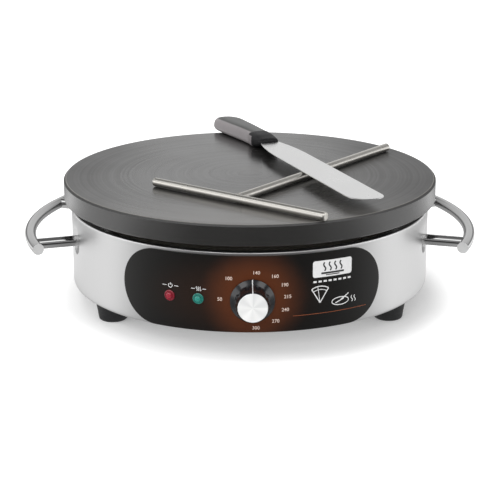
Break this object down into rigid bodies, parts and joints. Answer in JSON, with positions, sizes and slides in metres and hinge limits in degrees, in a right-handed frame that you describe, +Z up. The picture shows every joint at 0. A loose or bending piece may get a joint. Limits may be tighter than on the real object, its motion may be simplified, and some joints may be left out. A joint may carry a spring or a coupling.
{
  "type": "electric crepe maker",
  "caption": "Round electric crepe maker: thick cast plate over a brushed steel housing with a dial, signal lamps and side handles, with its spreader and spatula.",
  "frame": {"origin": "on the table, under the axis of the round plate", "axes": "+X to the right seen from the front, -Y towards the front with the dial, +Z up"},
  "size_m": [0.487, 0.4354, 0.1528],
  "materials": {
    "cast_plate": "turned, satin",
    "steel_shell": "brushed",
    "zinc_sheet": "satin",
    "zinc_fastener": "satin",
    "black_rubber": "matte",
    "dark_steel": "matte",
    "mineral_wool": "matte",
    "element_sheath": "satin",
    "copper": "satin",
    "tan_moulding": "matte",
    "black_panel": "satin",
    "red_lens": "gloss",
    "green_lens": "gloss",
    "dark_moulding": "matte",
    "chrome_bar": "polished",
    "white_ceramic": "satin",
    "brass_terminal": "satin",
    "brown_wire": "satin",
    "black_wire": "satin",
    "blue_wire": "satin",
    "green_wire": "satin",
    "grey_wire": "satin",
    "knob_black": "gloss",
    "spun_cap": "spun",
    "white_line": "satin",
    "satin_tube": "satin",
    "blade_steel": "satin",
    "grip_grey": "satin",
    "bolster_black": "satin"
  },
  "bodies": {
    "cooker": {"cooking_plate": "cast_plate", "housing_shell": "steel_shell", "base_plate": "zinc_sheet", "base_screws": "zinc_fastener", "foot_front_left": "black_rubber", "foot_front_right": "black_rubber", "foot_rear": "black_rubber", "plate_studs": "zinc_fastener", "stud_washers": "zinc_fastener", "stud_nuts": "zinc_fastener", "lower_spacers": "zinc_fastener", "upper_spacers": "zinc_fastener", "heat_shield": "dark_steel", "insulation_disc": "mineral_wool", "heating_element": "element_sheath", "element_clamp_left": "zinc_sheet", "element_clamp_right": "zinc_sheet", "element_clamp_front": "zinc_sheet", "element_clamp_screws": "zinc_fastener", "thermostat_bulb": "copper", "bulb_clip": "zinc_sheet", "bulb_clip_screw": "zinc_fastener", "thermostat_body": "tan_moulding", "thermostat_bracket": "zinc_sheet", "thermostat_screws": "zinc_fastener", "bracket_screws": "zinc_fastener", "control_panel": "black_panel", "lamp_lens_red": "red_lens", "lamp_lens_green": "green_lens", "lamp_body_red": "dark_moulding", "lamp_body_green": "dark_moulding", "handle_left": "chrome_bar", "handle_right": "chrome_bar", "handle_washers": "zinc_fastener", "handle_nuts": "zinc_fastener", "terminal_block": "white_ceramic", "terminal_screws": "brass_terminal", "earth_stud": "zinc_fastener", "earth_lug": "brass_terminal", "earth_nut": "zinc_fastener", "wire_live": "brown_wire", "wire_switched": "black_wire", "wire_neutral": "blue_wire", "wire_earth": "green_wire", "lamp_wires": "grey_wire", "gland_body": "dark_moulding", "gland_nut": "dark_moulding", "gland_seal": "black_rubber", "gland_locknut": "dark_moulding"},
    "knob": {"knob": "knob_black", "knob_cap": "spun_cap", "knob_pointer": "white_line", "thermostat_shaft": "zinc_fastener"},
    "spreader": {"spreader_crossbar": "satin_tube", "spreader_grip": "satin_tube", "spreader_web": "satin_tube", "spreader_plugs": "satin_tube"},
    "spatula": {"spatula_blade": "blade_steel", "spatula_handle": "grip_grey", "spatula_bolster": "bolster_black"}
  },
  "joints": [
    {"name": "knob_turn", "type": "hinge", "parent": "cooker", "child": "knob", "pos_m": [0, -0.19435, 0.057], "axis": [0, 1, 0], "range_deg": [-90, 180]},
    {"name": "spreader_lift", "type": "slide", "parent": "cooker", "child": "spreader", "axis": [0, 0, 1], "range_m": [0, 0.1]},
    {"name": "spatula_lift", "type": "slide", "parent": "spreader", "child": "spatula", "axis": [0, 0, 1], "range_m": [0, 0.1]}
  ]
}
